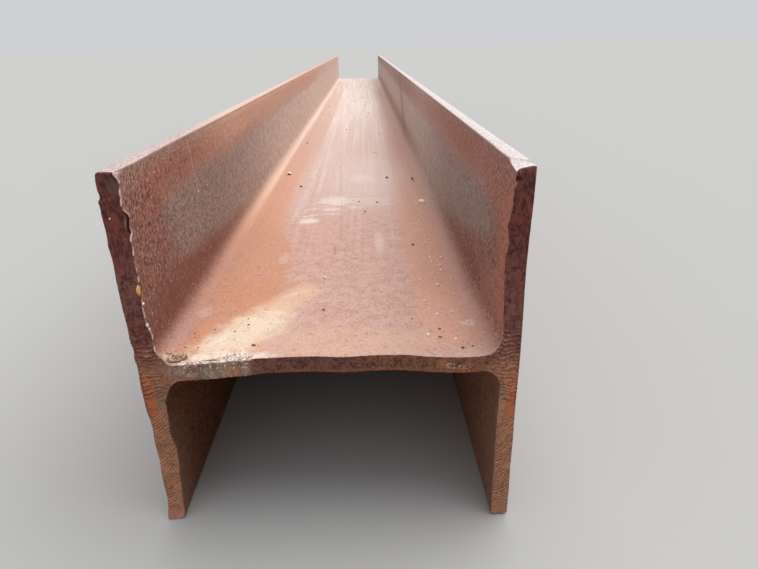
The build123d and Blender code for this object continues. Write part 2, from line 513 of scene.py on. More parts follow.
def finish_of(name):
    """A new material, and the places on the beam that it covers, in mm."""
    material = bpy.data.materials.new(name)
    material.use_nodes = True
    place = Value(material.node_tree).node("TexCoord", output="Object")
    place = place.node("VectorMath", {"operation": "SCALE"}, {0: place, "Scale": 1 / mm})
    x, y, z = (place.node("SeparateXYZ", {}, {0: place}, output=axis) for axis in range(3))
    return material, place, x, y, z


def coat(material, colour, roughness, height_map, relief_depth, shine):
    """Links the colour, the roughness and the relief to the material's shader; rust has little shine."""
    shader = material.node_tree.nodes["Principled BSDF"]
    shader.inputs["Specular IOR Level"].default_value = shine
    bump = colour.node("Bump", {}, {"Strength": 1.0, "Distance": relief_depth, "Height": height_map})
    for socket, value in (("Base Color", colour), ("Roughness", roughness), ("Normal", bump)):
        material.node_tree.links.new(value.socket, shader.inputs[socket])


rolled, place, x, y, z = finish_of("weathered rolled steel")
mesh.materials.append(rolled)
end_y = low.y / mm
from_near = y - end_y
from_middle = abs(x)
on_left = rise(x, 1, -1)
on_right = 1 - on_left
web_middle, inside = web_level / mm, inner_face / mm
slag = place.node("Attribute", {"attribute_name": "slag"}, output=2)
burnt_off = place.node("Attribute", {"attribute_name": "burnt"}, output=2)

speckle = mottle(place, 1.7, 1.0, roughness=0.6)
pits = mottle(place, 3.2, 6.0)
upright_grain = mottle(place, (2.4, 2.0, 3.6), 2.0, detail=3.0, roughness=0.65)
other_grain = mottle(place, (2.4, 1.7, 3.0), 7.0, detail=2.5, roughness=0.65)
blotch = mottle(place, 10.0, 3.0, detail=3.0, roughness=0.6)
cloud = mottle(place, (45.0, 90.0, 30.0), 4.0, detail=3.0, roughness=0.6)
streak = mottle(place, (6.0, 520.0, 6.0), 5.0, detail=3.0, roughness=0.65)
ragged = (blotch - 0.5) * 1.5 + (speckle - 0.5) * 0.9
drift = (cloud - 0.5) * 2

# Both faces of the flanges: red rust in a coarse grain, and the grey scale where it still holds
maroon, rust_red, pink_grain = (0.092, 0.036, 0.031), (0.31, 0.112, 0.073), (0.42, 0.228, 0.184)
flange = paint(rise(upright_grain, 0.42, 0.58), maroon, rust_red)
flange = paint(rise(other_grain, 0.52, 0.62) * 0.75, flange, pink_grain)
scale_grain = rise(upright_grain * 0.5 + speckle * 0.5, 0.42, 0.58)
scale = paint(scale_grain, (0.150, 0.102, 0.086), (0.355, 0.262, 0.220))
held_scale = rise(cloud * 0.55 + blotch * 0.45, 0.47, 0.60)
rain_runs = mottle(place, (16.0, 16.0, 190.0), 15.0, detail=3.0, roughness=0.6)
outer_face = layers(flange, (
    (held_scale * 0.8, scale),
    (rise(rain_runs, 0.50, 0.66) * 0.5, (0.37, 0.150, 0.085)),
    (rise(rain_runs, 0.46, 0.34) * 0.35, (0.135, 0.062, 0.048)),
))
# Painted shade: the flanges' inner faces darker low down, above the roots, most on the left
shade_above_root = rise(z + drift * 10, 186, 158)
right_foot = rise(z + drift * 8, 188, 162) * rise(from_near, 120, 50) * on_right
near_edge_of_scale = rise(from_near - on_left * 12 + drift * 36 + (blotch - 0.5) * 30, 34, 92)
scale_floor = 206 - from_near * 0.2 - on_left * (22 - from_near * 0.1)
scale_height = rise(z + drift * 12 - scale_floor, -10, 10) * rise(z + drift * 14, 244, 222)
scale_share = near_edge_of_scale * scale_height * (0.85 + (blotch - 0.5) * 1.1)
under_toe = between(z + drift * 5, 246, 256, 4) * between(from_near, 25, 190, 60) * on_left
# Towards the far end the flanges grow paler: partly dust, partly a painted sheen
far_pale_grain = rise(upright_grain * 0.6 + blotch * 0.4, 0.40, 0.60)
far_dust_sheen_colour = paint(far_pale_grain, (0.46, 0.32, 0.26), (0.76, 0.60, 0.51))
far_dust_sheen_colour = shade(far_dust_sheen_colour, rise(from_near, 700, 1400) * on_left * 0.13 + 1)
far_dust_sheen_share = rise(from_near - on_left * 40, 90, 750) * (0.68 + on_left * 0.24)
red_streak = between(z + drift * 12, 228, 246, 10) * between(from_near, 60, 1500, 40)
red_right = rise(z + drift * 8 - from_near * 0.018, 208, 226) * between(from_near, 40, 420, 160)
flange = layers(flange, (
    (shade_above_root * (0.1 + on_left * 0.55), (0.165, 0.060, 0.038)),
    (right_foot * rise(other_grain, 0.34, 0.6) * 0.7, (0.43, 0.185, 0.125)),
    (scale_share, scale),
    (under_toe * rise(other_grain, 0.35, 0.6) * 0.5, (0.41, 0.265, 0.200)),
    (far_dust_sheen_share, far_dust_sheen_colour),
    (rise(from_near, 110, 40) * rise(z + drift * 10, 224, 204) * on_left * 0.13, maroon),
    (red_streak * rise(other_grain, 0.40, 0.60) * 0.6, (0.42, 0.14, 0.082)),
    (red_right * on_right * rise(other_grain, 0.38, 0.58) * 0.5, (0.47, 0.175, 0.115)),
))
cool = flange.node("VectorMath", {"operation": "MULTIPLY"}, {0: flange, 1: (1.03, 1.18, 1.31)})
orange_band = rise(z + drift * 10 + (blotch - 0.5) * 22, 214, 248) * rise(from_near, 110, 330) * on_left
orange_band = orange_band * (rise(from_near, 2300, 900) * 0.75 + 0.25)
orange_grain = paint(rise(other_grain, 0.40, 0.60), (0.50, 0.245, 0.162), (0.73, 0.430, 0.300))
shaded = rise(from_near, 420, 900) * on_right
edges = rise(z + drift * 12, 188, 158) + rise(z + drift * 12, 216, 238)
stain = between(from_near - (z - 172) * 1.6 + ragged * 10, 950, 1015, 45) * on_right
red_end = rise(from_near + (blotch - 0.5) * 16, 44, 24) * between(z, 158, 236, 12) * on_right
chalk = scratch(from_near, z, (148, 254), (158, 211), 0.9) * rise(speckle, 0.25, 0.5) * on_left
chalk = chalk + patch(from_near, z, (160, 210), (3.0, 1.2), ragged) * on_left
chalk = chalk + scratch(from_near, z, (565, 185), (560, 150), 1.4) * on_right * 0.7
bright_grains = rise(mottle(place, 2.3, 14.0, detail=1.0), 0.66, 0.74)
flange = layers(paint(on_left, cool, flange), (
    (orange_band * (0.66 + blotch * 0.5), orange_grain),
    (shaded * (0.2 + edges * 0.5), (0.31, 0.165, 0.135)),
    (stain * 0.45, (0.24, 0.145, 0.112)),
    (red_end * rise(other_grain, 0.36, 0.56) * 0.8, (0.46, 0.165, 0.105)),
    (chalk, (0.58, 0.38, 0.29)),
    (rise(from_middle, inside + 4, inside + 9), outer_face),
    (bright_grains * 0.6, (0.66, 0.46, 0.37)),
))

# The web's upper face: salmon rust under dust, in streaks along the bar, and a painted highlight
# on the left root


def spot(centre, half_size):
    """An oval patch on the web, its centre given across the beam and from the near end."""
    return patch(x, from_near, centre, half_size, ragged)


salmon, dust, cream = (0.515, 0.278, 0.217), (0.622, 0.41, 0.345), (0.80, 0.65, 0.49)
mauve, pale_dust = (0.46, 0.255, 0.215), (0.78, 0.66, 0.60)
streaky = rise(from_near, 100, 320) * 0.45
band_edge = rise(from_near, 340, 190) * 24 - 68
salmon_band = rise(x + ragged * 7 - band_edge, 5, -5) * rise(from_near, 1700, 600)
orange = paint(rise(from_near, 230, 420), (0.565, 0.250, 0.138), (0.65, 0.305, 0.185))
brown_band = rise(x + ragged * 8, 56, 72) * rise(from_near, 650, 280)
brown_band = brown_band * rise(from_near + ragged * 8, 6, 30)
brown = paint(rise(from_near, 60, 140), (0.73, 0.39, 0.275), (0.62, 0.31, 0.210))
yellowed = scratch(x + ragged * 6, from_near + ragged * 14, (-58, 62), (-25, 114), 21) * 0.7
cream_patch = patch(x, from_near - (x + 62) * 0.8, (-61, 41), (31, 33), ragged)
pink_root = rise(x + ragged * 5, -90, -105) * rise(from_near, 330, 170) * rise(from_near, 20, 50)
# Painted highlight: the left root's fillet made peach and lighter where it turns up to the light
left_root_highlight = rise(x + ragged * 3, -101, -107)
peach_root_highlight = left_root_highlight * rise(from_near, 250, 560) * rise(from_near, 2200, 900)
pitted = rise(pits, 0.37, 0.27)
web = layers(paint(rise(speckle * 0.5 + blotch * 0.5, 0.38, 0.60) * 0.85, salmon, dust), (
    (rise(streak, 0.50, 0.70) * streaky, (0.70, 0.51, 0.44)),
    (rise(streak, 0.46, 0.36) * streaky, (0.47, 0.265, 0.215)),
    (spot((30, 560), (52, 170)) * 0.42, (0.74, 0.635, 0.580)),
    (salmon_band * (0.40 + pits * 0.6), orange),
    (brown_band * (0.45 + pits * 0.6), brown),
    (spot((-60, 110), (38, 40)) * (0.3 + pits * 0.6), orange),
    (yellowed * (0.5 + speckle * 0.7), (0.76, 0.52, 0.36)),
    (cream_patch * (0.6 + speckle * 0.6), cream),
    (spot((10, 28), (62, 24)) * 0.5, (0.67, 0.41, 0.295)),
    (pink_root * 0.5, (0.43, 0.220, 0.170)),
    (spot((-92, 46), (5, 16)) * 0.65, (0.62, 0.27, 0.135)),
    (spot((-22, 275), (10, 30)) * 0.65, (0.60, 0.345, 0.26)),
    (spot((-9, 212), (6, 16)) * 0.65, (0.60, 0.345, 0.26)),
    (spot((-107, 45), (8, 30)) * 0.65, (0.46, 0.27, 0.225)),
    (spot((-97, 80), (5, 10)) * 0.65, (0.60, 0.405, 0.315)),
    (spot((-52, 196), (5, 16)) * 0.65, (0.62, 0.43, 0.345)),
    (spot((-62, 9), (26, 8)) * 0.7, (0.84, 0.74, 0.64)),
    (rise(from_middle + ragged * 4, 90, 108) * on_right * 0.65, mauve),
    (peach_root_highlight * 0.75, (0.86, 0.60, 0.46)),
    (rise(speckle, 0.62, 0.74) * 0.5, (0.78, 0.60, 0.52)),
    (pitted * 0.45, (0.33, 0.17, 0.12)),
))

# Scuffs on the web, where something pale was dragged across it, and long scores from the rolls
worn = rise(speckle * 0.5 + blotch * 0.5, 0.38, 0.58)
for middle, half_size, strength in (
    ((-13, 404), (19, 25), 0.85), ((-39, 318), (11, 11), 0.9), ((-14, 366), (12, 8), 0.75),
    ((20, 538), (17, 30), 0.45), ((30, 400), (34, 24), 0.25), ((-15, 345), (12, 5), 0.4),
    ((40, 236), (5, 34), 0.4), ((10, 372), (8, 9), 0.4), ((98, 50), (6, 5), 0.45),
):
    web = paint(patch(x, from_near, middle, half_size, ragged * 1.4) * strength, web, pale_dust)
for start, finish, half_width, strength in (
    ((-44, 337), (-32, 342), 6, 0.6), ((-46, 364), (-33, 372), 6, 0.6), ((-43, 389), (-33, 399), 6, 0.6),
    ((3, 380), (20, 369), 2.2, 0.6), ((20, 368), (35, 382), 2.2, 0.5), ((43, 374), (58, 385), 2.0, 0.5),
    ((9, 431), (22, 430), 3.0, 0.6), ((8, 413), (18, 414), 2.5, 0.5), ((34, 525), (53, 515), 4.0, 0.5),
    ((76, 272), (88, 275), 1.5, 0.5), ((80, 297), (83, 299), 2.0, 0.5), ((-82, 27), (-70, 41), 4.5, 0.9),
    ((-40, 104), (-20, 121), 2.6, 0.6), ((-55, 700), (-53, 440), 6.5, 0.4),
    ((-53, 440), (-56, 330), 6.0, 0.35), ((-36, 760), (-38, 450), 4.0, 0.4),
    ((-19, 640), (-13, 450), 2.5, 0.35), ((33, 640), (26, 430), 2.5, 0.25),
):
    web = paint(scratch(x, from_near, start, finish, half_width) * worn * strength, web, pale_dust)
for start, finish, half_width, strength in (
    ((-34, 394), (-4, 379), 2.4, 0.9), ((-14, 642), (-5, 433), 2.0, 0.45), ((-5, 433), (0, 251), 1.8, 0.35),
    ((-5, 226), (-4, 203), 2.2, 0.7),
):
    score = scratch(x, from_near, start, finish, half_width) * rise(blotch, 0.30, 0.50)
    web = paint(score * strength, web, (0.40, 0.215, 0.165))
chalky = rise(from_near, 230, 480) * rise(from_middle + ragged * 8, 84, 56)
# Towards the far end the web grows paler: partly dust, partly a painted sheen
dust_and_sheen_far = paint(rise(streak, 0.40, 0.64), (0.73, 0.585, 0.525), (0.85, 0.745, 0.690))
dust_and_sheen_far = shade(dust_and_sheen_far, 0.86 + speckle * 0.28 - rise(from_near, 1600, 2700) * 0.08)
pink_strip = between(x + ragged * 5, -99, -62, 8) * rise(from_near, 420, 850) * rise(from_near, 2900, 1500)
# Along the right root towards the far end the web is darker: less dust there, and painted shade
right_strip = rise(x + ragged * 6, 52, 98) * rise(from_near, 350, 850) * rise(from_near, 3100, 1900)
web = layers(web, (
    (chalky * 0.34, (0.68, 0.56, 0.52)),
    (rise(from_near, 350, 1700) * 0.88, dust_and_sheen_far),
    (pink_strip * 0.62, (0.57, 0.335, 0.250)),
    (right_strip * 0.72, (0.48, 0.262, 0.195)),
    # The painted highlight on the left root, carried on towards the far end
    (left_root_highlight * rise(from_near, 800, 1500) * 0.5, (0.92, 0.66, 0.50)),
))

# The faces under the web, which the rain doesn't reach, and the toes' upper sides, pale with dust
# and a painted sheen
under_right = paint(rise(upright_grain, 0.40, 0.62), (0.18, 0.068, 0.036), (0.39, 0.165, 0.090))
under_left = paint(rise(upright_grain, 0.38, 0.64), (0.092, 0.028, 0.011), (0.260, 0.090, 0.037))
dusty_foot = rise(from_near + ragged * 12, 70, 10) * rise(z, 110, 60)
under = paint(dusty_foot * 0.6, paint(on_left, under_right, under_left), (0.24, 0.125, 0.085))
round_root = z + from_middle - 100 + (blotch - 0.5) * 9 + (upright_grain - 0.5) * 18
dirt_start = 160 + rise(from_near, 90, 220) * 5
dirt_full = 136 + on_left * rise(from_near, 120, 350) * 10
between_flanges = rise(from_middle, inside + 2, inside + 1)
on_web = rise(round_root, dirt_start, dirt_full) * between_flanges
below_web = rise(z, web_middle + 1, web_middle - 1) * between_flanges
# Painted shade: a thin darker line just under the toes' tops on the inner faces, where the rounded corner
# turns from the light
toe_shade_line = between(z, 256.0, 256.8, 0.5) * rise(from_middle, inside + 3, inside + 2)
top_side = rise(z, height / mm - 0.9, height / mm - 0.2) + burnt_off
pink_top = layers(paint(rise(speckle, 0.4, 0.6), (0.42, 0.27, 0.25), (0.62, 0.46, 0.44)), (
    (rise(from_near, 120, 320) * 0.55, (0.82, 0.58, 0.46)),
    (rise(from_near, 420, 1500) * 0.85, (0.80, 0.33, 0.18)),
))
# The toes' tops: pale dust, whitened further by a painted sheen
top_dust_and_sheen = paint(rise(speckle, 0.36, 0.60), (0.57, 0.46, 0.44), (0.74, 0.69, 0.68))
top_dust_and_sheen = paint(on_left * (rise(from_near, 500, 1800) * 0.2 + 0.8), top_dust_and_sheen, pink_top)
colour = layers(flange, (
    (on_web, web),
    (below_web, under),
    (toe_shade_line * 0.5, (0.20, 0.115, 0.095)),
    (top_side.node("Clamp", {}, {0: top_side}), top_dust_and_sheen),
))
fine_grain = mottle(place, 1.1, 21.0, detail=1.0)
colour = shade(colour, 0.74 + fine_grain * 0.52)

# Slag on it: a lip of pink, ochre and cream on the left flange's edge, and the crust beside the web's
# cut
on_lip = rise(from_middle, root_start / mm + 6, inside)
crumbling = rise(mottle(place, 2.2, 11.0, detail=3.0, roughness=0.7), 0.46, 0.58)
crust_colour = paint(crumbling, (0.34, 0.22, 0.165), (0.84, 0.76, 0.68))
lip_colour = paint(rise(z + ragged * 2, 196, 186), (0.62, 0.43, 0.40), (0.50, 0.25, 0.15))
lip_colour = paint(rise(z + ragged * 2, 172, 164), lip_colour, (0.60, 0.44, 0.33))
slag_share = rise(slag + (speckle - 0.5) * 0.8 - on_lip * 0.18, 0.15, 0.5)
colour = paint(slag_share, colour, paint(on_lip, crust_colour, lip_colour))
height_map = speckle * 0.6 + upright_grain * (1 - on_web) * 0.8 + blotch * 0.6 - pitted * 0.8
coat(rolled, colour, 0.6 + (blotch - 0.5) * 0.3, height_map, 0.45 * mm, shine=0.35)

# The finish of the torch-cut faces. Burnt steel lies under dark maroon rust, brighter and browner on
# the lower half, where the drag lines stand out. Grey-olive slag clings to the web's cut.
cut, place, x, y, z = finish_of("torch-cut steel")
mesh.materials.append(cut)
speckle = mottle(place, 1.5, 1.0, roughness=0.6)
blotch = mottle(place, 5.0, 3.0, detail=3.0, roughness=0.6)
patches = mottle(place, 11.0, 9.0)
lines = place.node("Attribute", {"attribute_name": "drag_lines"}, output=2)
slag = place.node("Attribute", {"attribute_name": "slag"}, output=2)
from_middle = abs(x)
on_flange = rise(from_middle, root_start / mm, inner_face / mm)
ragged = (blotch - 0.5) * 1.6
mixed = rise(speckle * 0.5 + blotch * 0.5, 0.40, 0.58)
strokes = rise(mottle(place, (1.5, 1.5, 5.0), 16.0, detail=3.0) * 0.6 + blotch * 0.4, 0.40, 0.60)
burnt = layers(paint(strokes, (0.068, 0.020, 0.018), (0.180, 0.053, 0.044)), (
    (rise(patches, 0.54, 0.66) * 0.6, (0.24, 0.060, 0.042)),
    (rise(z + ragged * 9, 212, 188) * mixed * 0.5, (0.24, 0.105, 0.085)),
    (patch(x, z, (-116.5, 250), (2.8, 4.5), ragged * 1.6) * 0.5, (0.115, 0.090, 0.072)),
))
bright_rust = patch(from_middle, z, (120.8, 104), (3.6, 27), ragged * 1.1)
outer_strip = rise(from_middle + ragged, 122.6, 124.2) * rise(z, 80, 100)
olive = patch(from_middle, z, (115, 103), (3.2, 9), ragged * 1.5)
lower = layers(paint(mixed, (0.235, 0.096, 0.055), (0.44, 0.200, 0.115)), (
    (bright_rust * (0.15 + mixed * 0.85), (0.53, 0.120, 0.040)),
    (outer_strip * 0.6, (0.155, 0.045, 0.028)),
    (olive * 0.6, (0.24, 0.170, 0.118)),
    (rise(z, 12, 4) * 0.6, (0.44, 0.18, 0.115)),
))
flange_cut = paint(rise(z + ragged * 9, 146, 118), burnt, lower)
web_right = layers(paint(mixed, (0.085, 0.034, 0.022), (0.225, 0.094, 0.055)), (
    (patch(x, z, middle, half_size, ragged * 1.4) * mixed * 0.7, (0.46, 0.160, 0.068))
    for middle, half_size in (((75, 129), (5, 5)), ((90, 127), (4.5, 4)), ((107, 125), (4, 4)))
))
crumb = mottle(place, 1.7, 12.0, detail=1.0)
crumbs_on_cut = rise(crumb, 0.61, 0.67) * rise(z + ragged * 3, 124, 132) * rise(x, -97, -92)
crust_grain = rise(blotch * 0.6 + speckle * 0.4, 0.42, 0.58)
tinted = 0.2 + mixed * 0.6
crusty = layers(paint(crust_grain, (0.185, 0.108, 0.084), (0.36, 0.222, 0.166)), (
    (rise(patches, 0.56, 0.64) * 0.5, (0.36, 0.15, 0.075)),
    (patch(x, z, (-72, 128), (8, 9), ragged * 1.3) * tinted, (0.36, 0.270, 0.180)),
    (patch(x, z, (-62, 127), (6, 6), ragged * 1.3) * tinted, (0.47, 0.195, 0.095)),
    (rise(z + ragged * 3, 128, 125) * rise(x, -82, -92) * 0.6, (0.34, 0.125, 0.070)),
    (crumbs_on_cut * 0.8, (0.74, 0.62, 0.54)),
))
rust_edge = rise(z + ragged * 1.5, 126.5, 124.5) * between(x, -30, 90, 10)
slag_left = rise(x + ragged * 5, meeting / mm + 1, meeting / mm - 4)
flecks = rise(crumb, 0.52, 0.60) * patch(x, z, (82, 128.5), (6.5, 2.2), ragged * 0.5)
web_cut = layers(paint(mixed, (0.072, 0.028, 0.023), (0.200, 0.076, 0.055)), (
    (rise(x + ragged * 12, 20, 40), web_right),
    (rust_edge * 0.25, (0.42, 0.135, 0.06)),
    (slag_left, crusty),
    (flecks * 0.8, (0.66, 0.50, 0.42)),
))
by_root = between(z, 84, 140, 18) * on_flange
# Painted highlight on the drag lines' ridges, taken from the relief
ridge_share = rise(lines + (speckle - 0.5) * 0.5, 0.1, 0.55) * by_root
up_slope = z * cos(radians(33)) - x * sin(radians(33))
slanting = up_slope * (2 * pi / 2.05) + (patches - 0.5) * 18 + (blotch - 0.5) * 5
slanting = slanting.node("Math", {"operation": "SINE"}, {0: slanting})
foot = rise(z, 106, 84) * on_flange * rise(patches * 0.4 + speckle * 0.6, 0.34, 0.58)
gouge_rim = patch(x, z, (-115.2, 227), (0.4, 5.5), ragged * 0.3)
gouge_shadow = patch(x, z, (-113.7, 226), (1.15, 6.2), ragged * 0.25)
colour = layers(paint(on_flange, web_cut, flange_cut), (
    # Painted highlight on the drag lines' ridges, and painted shade in their grooves
    (ridge_share * 0.75, (0.48, 0.25, 0.165)),
    (rise(lines, -0.1, -0.45) * by_root * 0.7, (0.085, 0.028, 0.020)),
    (rise(slanting, 0.3, 1.0) * foot * 0.7, (0.52, 0.285, 0.18)),
    (rise(slanting, -0.4, -1.0) * foot * 0.5, (0.150, 0.055, 0.036)),
    (gouge_rim * 0.6, (0.34, 0.19, 0.14)),
    (gouge_shadow * 0.95, (0.016, 0.006, 0.005)),
    (rise(slag + (speckle - 0.5) * 0.6, 0.25, 0.6), (0.70, 0.50, 0.44)),
))
height_map = speckle * 0.7 + blotch + slanting * foot * 0.25
coat(cut, colour, 0.7 + (blotch - 0.5) * 0.3, height_map, 0.6 * mm, shine=0.2)

# Slag left by the torch at the near end: a puddle with a raised rim in the left root, a flake that
# lifted at the web's edge, beads on the flange's lip, and crumbs along the crust. All is fused to the
# steel.


def surface_level(x):
    """The height of the web's upper face, and of the root where the face rises into it."""
    into_root = np.clip(np.abs(x) - root_start, 0, root_radius * 0.98)
    return root_height - np.sqrt(root_radius**2 - into_root**2)


def make_piece(name, mesh_points, mesh_faces, material):
    """A smooth-shaded piece that rides with the beam."""
    piece_mesh = bpy.data.meshes.new(name)
    piece_mesh.from_pydata(mesh_points, [], mesh_faces)
    piece_mesh.validate()
    piece_mesh.polygons.foreach_set("use_smooth", [True] * len(piece_mesh.polygons))
    piece_mesh.materials.append(material)
    piece = set_down(name, piece_mesh)
    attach(piece, "root")
    return piece


def lumps(places, steps=3):
    """Rough grains in one mesh; each place is a centre, a half size in mm and a turn in degrees."""
    grain_points, grain_faces = [], []
    for number, (centre, half_size, turn) in enumerate(places):
        ball = bmesh.new()
        bmesh.ops.create_icosphere(ball, subdivisions=steps, radius=1.0)
        spin = Matrix.Rotation(radians(turn), 3, "Z") @ Matrix.Rotation(radians(turn * 0.37), 3, "X")
        first = len(grain_points)
        for vertex in ball.verts:
            direction = vertex.co.normalized()
            bulge = 1 + 0.38 * noise.noise(direction * 1.3 + Vector((number * 1.7, 0, 3)))
            bulge += 0.12 * noise.noise(direction * 4.1 + Vector((0, number * 2.3, 1)))
            shaped = spin @ Vector(d * s * bulge for d, s in zip(direction, half_size))
            grain_points.append((Vector(centre) + shaped) * mm)
        ball.verts.ensure_lookup_table()
        grain_faces += [tuple(first + v.index for v in face.verts) for face in ball.faces]
        ball.free()
    return grain_points, grain_faces


def slag_finish(name, dark, pale, worn):
    """A crusty slag of two colours, whose high spots are worn to a third."""
    material, place, x, y, z = finish_of(name)
    crumb = mottle(place, 1.4, 2.0)
    colour = paint(rise(crumb, 0.38, 0.58), dark, pale)
    colour = paint(rise(mottle(place, 3.1, 5.0), 0.55, 0.68), colour, worn)
    coat(material, colour, 0.62 + (crumb - 0.5) * 0.3, crumb, 0.25 * mm, shine=0.3)
    return material


rng = np.random.default_rng(41)
puddle_centre, puddle_half = np.array((-100.0, 11.0)), np.array((8.6, 7.4))
ring_centre, ring_half = np.array((-98.2, 11.0)), np.array((5.0, 5.8))
turns, hoops = 84, 26
puddle_points, puddle_faces, paleness_and_shadow = [], [], []
for hoop in range(1, hoops + 1):
    out = hoop / hoops
    for step in range(turns):
        angle = 2 * np.pi * step / turns
        wobble = 1 + 0.16 * noise.noise((1.4 * np.cos(angle), 1.4 * np.sin(angle), 4.4))
        where = puddle_centre + puddle_half * out * wobble * (np.cos(angle), np.sin(angle))
        away = np.hypot(*((where - ring_centre) / ring_half))
        raised = np.exp(-(((away - 0.92) / 0.17) ** 2)) * (0.8 + 0.5 * noise.noise((*(where / 3), 1.1)))
        spots = sum(np.exp(-np.sum((where - spot) ** 2) / 1.3) for spot in ((-101, 13), (-97.5, 10.5)))
        knob = np.exp(-np.sum(((where - (-106.2, 9.8)) / (2.2, 3.0)) ** 2))
        lumpy = 0.35 * noise.noise((*(where / 1.5), 2.2))
        above = (0.3 + 1.2 * raised + 0.9 * knob - 0.5 * spots + lumpy) * (1 - soft_step(0.86, 1.0, out))
        above -= 0.25 * soft_step(0.9, 1.0, out)
        px, from_end = where * mm
        puddle_points.append((px, low.y + from_end, surface_level(px) + above * mm))
        # Painted shadow beside the rim, on one side, taken off the slag's paleness
        shadow = np.exp(-(((away - 1.12) / 0.12) ** 2)) * (0.5 + 0.5 * np.cos(angle + 0.7))
        paleness_and_shadow.append(0.5 + 0.7 * knob + 0.5 * raised - 0.8 * spots - 0.9 * shadow + 0.9 * lumpy)
for hoop in range(hoops - 1):
    for step in range(turns):
        a, b = hoop * turns + step, hoop * turns + (step + 1) % turns
        puddle_faces.append((a, a + turns, b + turns, b))
puddle_faces.append(tuple(range(turns)))
ring_slag, place, x, y, z = finish_of("ring slag")
pale = place.node("Attribute", {"attribute_name": "paleness_and_shadow"}, output=2)
crumb = mottle(place, 1.4, 2.0)
colour = paint(rise(pale + (crumb - 0.5) * 1.6, 0.3, 0.85), (0.16, 0.088, 0.058), (0.57, 0.385, 0.27))
coat(ring_slag, colour, 0.65 + (crumb - 0.5) * 0.3, crumb, 0.25 * mm, shine=0.3)
puddle = make_piece("slag_puddle", puddle_points, puddle_faces, ring_slag)
pale_mark = puddle.data.attributes.new("paleness_and_shadow", "FLOAT", "POINT")
pale_mark.data.foreach_set("value", np.array(paleness_and_shadow, dtype=np.float32))

flake_points, flake_faces = [], []
flake_steps, flake_rows = 26, 7
last_row = flake_rows - 1
for side_of_flake in (1, -1):
    for i in range(flake_steps + 1):
        for j in range(flake_rows):
            along, across = i / flake_steps, j / last_row
            px = -81 + 12.5 * along
            from_end = 3.6 + 2.6 * across + 1.1 * np.sin(along * 2.6)
            from_end = from_end + 0.4 * noise.noise((px, across, 6.1))
            lift = 0.35 + 1.15 * (1 - across) * np.sin(np.pi * along) ** 0.7
            taper = np.sin(np.pi * min(max(along, 0.02), 0.98)) ** 0.5
            thick = 0.28 * side_of_flake * taper * np.sin(np.pi * (0.06 + 0.88 * across))
            height_here = web_top / mm + lift + thick + 0.12 * noise.noise((px / 2, across * 3, 8.8))
            flake_points.append((px * mm, (end_y + from_end) * mm, height_here * mm))
sheet = (flake_steps + 1) * flake_rows
for i in range(flake_steps):
    for j in range(last_row):
        a = i * flake_rows + j
        b = a + flake_rows
        flake_faces += [(a, b, b + 1, a + 1), (sheet + a, sheet + a + 1, sheet + b + 1, sheet + b)]
rim = [i * flake_rows for i in range(flake_steps)] + [flake_steps * flake_rows + j for j in range(last_row)]
rim += [i * flake_rows + last_row for i in range(flake_steps, 0, -1)] + list(range(last_row, 0, -1))
for a, b in zip(rim, rim[1:] + rim[:1]):
    flake_faces.append((b, a, sheet + a, sheet + b))
pale_slag = slag_finish("pale slag", (0.20, 0.12, 0.085), (0.60, 0.44, 0.34), (0.74, 0.60, 0.49))
make_piece("slag_flake", flake_points, flake_faces, pale_slag)

crumbs = []
for _ in range(130):
    px = rng.uniform(-96, meeting / mm - 1)
    edge = float(setback(near_cut, np.array([px * mm]), np.array([web_top]))[0]) / mm
    size = rng.uniform(0.3, 0.8) + 0.5 * float(soft_step(-80, -60, px)) * rng.uniform() ** 2
    from_end = edge + rng.uniform(0.3, 4.0 + 6.5 * float(soft_step(-82, -66, px))) * rng.uniform(0.3, 1)
    level = float(surface_level(px * mm)) / mm + size * 0.45
    crumbs.append(((px, end_y + from_end, level), (size * 1.3, size, size * 0.8), rng.uniform(0, 360)))
chalky_slag = slag_finish("chalky slag", (0.52, 0.40, 0.31), (0.84, 0.76, 0.68), (0.80, 0.64, 0.52))
make_piece("slag_crumbs", *lumps(crumbs, steps=2), chalky_slag)

edge_x = -inner_face / mm
beads = [
    ((edge_x - 0.5, end_y + 8.4, 185.0), (0.9, 0.8, 3.4), 8),
    ((edge_x - 1.4, end_y + 8.2, 184.0), (0.5, 0.6, 2.2), 4),
]
ochre_slag = slag_finish("ochre slag", (0.62, 0.30, 0.06), (0.78, 0.46, 0.10), (0.72, 0.52, 0.36))
make_piece("ochre_beads", *lumps(beads), ochre_slag)
specks = [
    ((edge_x + 0.5, end_y + 8.8, 175.6), (0.8, 0.8, 0.8), 20),
    ((-120.6, end_y + 5.8, 231.4), (0.6, 0.5, 0.6), 60),
    ((edge_x + 0.2, end_y + 9.2, 160.5), (0.9, 0.7, 1.4), 10),
    ((edge_x + 0.9, end_y + 9.6, 157.5), (0.8, 0.7, 1.1), 50),
]
make_piece("pale_beads", *lumps(specks), chalky_slag)

